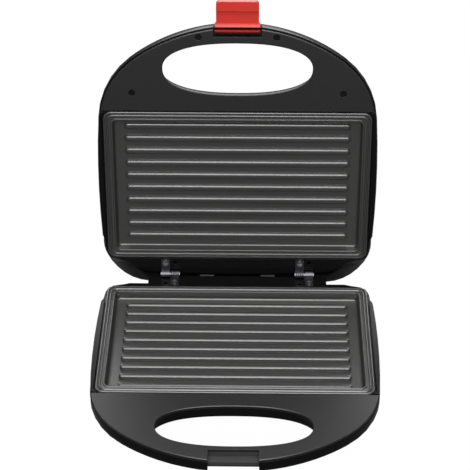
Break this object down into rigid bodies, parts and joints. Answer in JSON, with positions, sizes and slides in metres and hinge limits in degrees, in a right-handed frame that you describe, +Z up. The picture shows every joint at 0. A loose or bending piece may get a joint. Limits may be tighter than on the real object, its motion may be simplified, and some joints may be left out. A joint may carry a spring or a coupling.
{
  "type": "sandwich toaster",
  "caption": "Hinged countertop sandwich toaster with ridged cooking plates, a split loop handle and a red clip latch, shown open.",
  "frame": {"origin": "on the worktop under the middle of the open toaster's outline", "axes": "+Z up, +Y from the handle to the hinge, +X to the right seen from the handle"},
  "size_m": [0.232, 0.2804, 0.2864],
  "materials": {
    "casing_black": "gloss",
    "cover_black": "gloss",
    "coated_plate": "satin non-stick coating",
    "hinge_steel": "satin",
    "screw_steel": "satin",
    "reflector_aluminium": "bright",
    "element_sheath": "matte",
    "ceramic_white": "matte ceramic",
    "thermostat_tan": "matte",
    "lead_sleeve": "woven glass sleeve",
    "rubber_black": "matte",
    "lens_red": "clear",
    "lens_green": "clear",
    "lamp_glass": "clear",
    "latch_red": "gloss"
  },
  "bodies": {
    "base": {"base_shell": "casing_black", "base_handle_cover": "cover_black", "base_cover_screws": "screw_steel", "lower_plate": "coated_plate", "lower_plate_screws": "screw_steel", "lower_element": "element_sheath", "lower_element_bushes": "ceramic_white", "lower_clamps": "screw_steel", "lower_reflector": "reflector_aluminium", "lower_thermostat": "thermostat_tan", "thermal_fuse": "ceramic_white", "terminal_block": "ceramic_white", "base_wiring": "lead_sleeve", "rubber_feet": "rubber_black", "cord_bush": "rubber_black", "base_hinge_leaves": "hinge_steel", "hinge_pins": "screw_steel", "base_hinge_screws": "screw_steel"},
    "lid": {"lid_shell": "casing_black", "lid_handle_cover": "cover_black", "lid_cover_screws": "screw_steel", "upper_plate": "coated_plate", "upper_plate_screws": "screw_steel", "upper_element": "element_sheath", "upper_element_bushes": "ceramic_white", "upper_clamps": "screw_steel", "upper_reflector": "reflector_aluminium", "upper_thermostat": "thermostat_tan", "lid_wiring": "lead_sleeve", "power_lens": "lens_red", "ready_lens": "lens_green", "neon_lamps": "lamp_glass", "lid_hinge_leaves": "hinge_steel", "lid_hinge_screws": "screw_steel"},
    "latch": {"latch_clip": "latch_red"}
  },
  "joints": [
    {"name": "lid_hinge", "type": "hinge", "parent": "base", "child": "lid", "pos_m": [0, 0.0857, 0.043], "axis": [1, 0, 0], "range_deg": [0, 98]},
    {"name": "latch_pivot", "type": "hinge", "parent": "lid", "child": "latch", "pos_m": [0, 0.11972, 0.26351], "axis": [1, 0, 0], "range_deg": [0, 90]}
  ]
}
